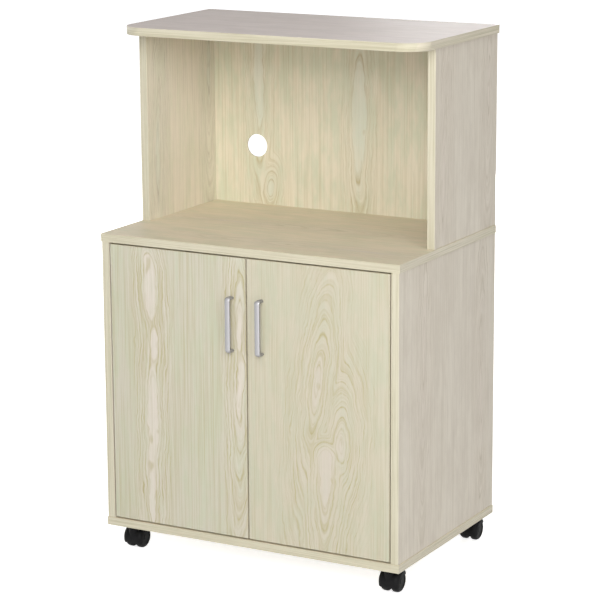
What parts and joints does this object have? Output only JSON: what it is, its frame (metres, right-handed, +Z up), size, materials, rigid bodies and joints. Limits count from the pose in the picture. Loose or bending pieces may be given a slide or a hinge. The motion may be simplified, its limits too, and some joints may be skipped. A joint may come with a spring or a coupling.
{
  "type": "microwave cart",
  "caption": "Microwave cart on castors: a two-door cabinet with bow handles and a shelf, an open hutch with a cable hole above it, and a round-cornered top.",
  "frame": {"origin": "on the floor, under the middle of the whole cart with its handles", "axes": "+X to the right and -Y to the front for someone facing the doors, +Z up"},
  "size_m": [0.604, 0.412, 0.964],
  "materials": {
    "laminate": "satin printed laminate",
    "hardboard": "satin printed laminate",
    "beech": "matt",
    "nickel": "satin nickel",
    "zinc": "zinc plated",
    "steel": "zinc plated",
    "black_metal": "semi-matt black",
    "black_plastic": "semi-matt black",
    "brown_plastic": "matt brown",
    "magnet": "dull ferrite"
  },
  "bodies": {
    "cart": {"top_panel": "laminate", "upper_left_side": "laminate", "upper_right_side": "laminate", "worktop": "laminate", "lower_left_side": "laminate", "lower_right_side": "laminate", "bottom_panel": "laminate", "shelf": "laminate", "cam_covers": "laminate", "upper_back_panel": "hardboard", "lower_back_panel": "hardboard", "dowels": "beech", "shelf_pins": "zinc", "cam_nuts": "zinc", "hinge_arms": "zinc", "hinge_plates": "zinc", "cam_bolts": "steel", "through_bolts": "steel", "bottom_screws": "steel", "hinge_arm_screws": "steel", "hinge_plate_screws": "steel", "catch_screws": "steel", "castor_screws": "steel", "catch_housing": "brown_plastic", "catch_magnets": "magnet", "castor_plates": "black_metal"},
    "left_door": {"left_door": "laminate", "left_handle": "nickel", "left_handle_screws": "steel", "left_hinge_cups": "zinc", "left_hinge_pins": "steel", "left_door_screws": "steel", "left_strike_plate": "zinc"},
    "right_door": {"right_door": "laminate", "right_handle": "nickel", "right_handle_screws": "steel", "right_hinge_cups": "zinc", "right_hinge_pins": "steel", "right_door_screws": "steel", "right_strike_plate": "zinc"},
    "front_left_castor": {"front_left_castor_hood": "black_plastic", "front_left_castor_axle": "steel"},
    "front_left_outer_wheel": {"front_left_outer_wheel": "black_plastic"},
    "front_left_inner_wheel": {"front_left_inner_wheel": "black_plastic"},
    "front_right_castor": {"front_right_castor_hood": "black_plastic", "front_right_castor_axle": "steel"},
    "front_right_outer_wheel": {"front_right_outer_wheel": "black_plastic"},
    "front_right_inner_wheel": {"front_right_inner_wheel": "black_plastic"},
    "rear_left_castor": {"rear_left_castor_hood": "black_plastic", "rear_left_castor_axle": "steel"},
    "rear_left_outer_wheel": {"rear_left_outer_wheel": "black_plastic"},
    "rear_left_inner_wheel": {"rear_left_inner_wheel": "black_plastic"},
    "rear_right_castor": {"rear_right_castor_hood": "black_plastic", "rear_right_castor_axle": "steel"},
    "rear_right_outer_wheel": {"rear_right_outer_wheel": "black_plastic"},
    "rear_right_inner_wheel": {"rear_right_inner_wheel": "black_plastic"}
  },
  "joints": [
    {"name": "left_door_hinge", "type": "hinge", "parent": "cart", "child": "left_door", "pos_m": [-0.26794, -0.181, 0.325], "axis": [0, 0, -1], "range_deg": [0, 95]},
    {"name": "right_door_hinge", "type": "hinge", "parent": "cart", "child": "right_door", "pos_m": [0.26794, -0.181, 0.325], "axis": [0, 0, 1], "range_deg": [0, 95]},
    {"name": "front_left_swivel", "type": "hinge", "parent": "cart", "child": "front_left_castor", "pos_m": [-0.265, -0.1535, 0.045], "axis": [0, 0, 1], "continuous": true},
    {"name": "front_left_outer_wheel_spin", "type": "hinge", "parent": "front_left_castor", "child": "front_left_outer_wheel", "pos_m": [-0.265, -0.1415, 0.02], "axis": [1, 0, 0], "continuous": true},
    {"name": "front_left_inner_wheel_spin", "type": "hinge", "parent": "front_left_castor", "child": "front_left_inner_wheel", "pos_m": [-0.265, -0.1415, 0.02], "axis": [1, 0, 0], "continuous": true},
    {"name": "front_right_swivel", "type": "hinge", "parent": "cart", "child": "front_right_castor", "pos_m": [0.265, -0.1535, 0.045], "axis": [0, 0, 1], "continuous": true},
    {"name": "front_right_outer_wheel_spin", "type": "hinge", "parent": "front_right_castor", "child": "front_right_outer_wheel", "pos_m": [0.265, -0.1415, 0.02], "axis": [1, 0, 0], "continuous": true},
    {"name": "front_right_inner_wheel_spin", "type": "hinge", "parent": "front_right_castor", "child": "front_right_inner_wheel", "pos_m": [0.265, -0.1415, 0.02], "axis": [1, 0, 0], "continuous": true},
    {"name": "rear_left_swivel", "type": "hinge", "parent": "cart", "child": "rear_left_castor", "pos_m": [-0.265, 0.1745, 0.045], "axis": [0, 0, 1], "continuous": true},
    {"name": "rear_left_outer_wheel_spin", "type": "hinge", "parent": "rear_left_castor", "child": "rear_left_outer_wheel", "pos_m": [-0.265, 0.1865, 0.02], "axis": [1, 0, 0], "continuous": true},
    {"name": "rear_left_inner_wheel_spin", "type": "hinge", "parent": "rear_left_castor", "child": "rear_left_inner_wheel", "pos_m": [-0.265, 0.1865, 0.02], "axis": [1, 0, 0], "continuous": true},
    {"name": "rear_right_swivel", "type": "hinge", "parent": "cart", "child": "rear_right_castor", "pos_m": [0.265, 0.1745, 0.045], "axis": [0, 0, 1], "continuous": true},
    {"name": "rear_right_outer_wheel_spin", "type": "hinge", "parent": "rear_right_castor", "child": "rear_right_outer_wheel", "pos_m": [0.265, 0.1865, 0.02], "axis": [1, 0, 0], "continuous": true},
    {"name": "rear_right_inner_wheel_spin", "type": "hinge", "parent": "rear_right_castor", "child": "rear_right_inner_wheel", "pos_m": [0.265, 0.1865, 0.02], "axis": [1, 0, 0], "continuous": true}
  ]
}
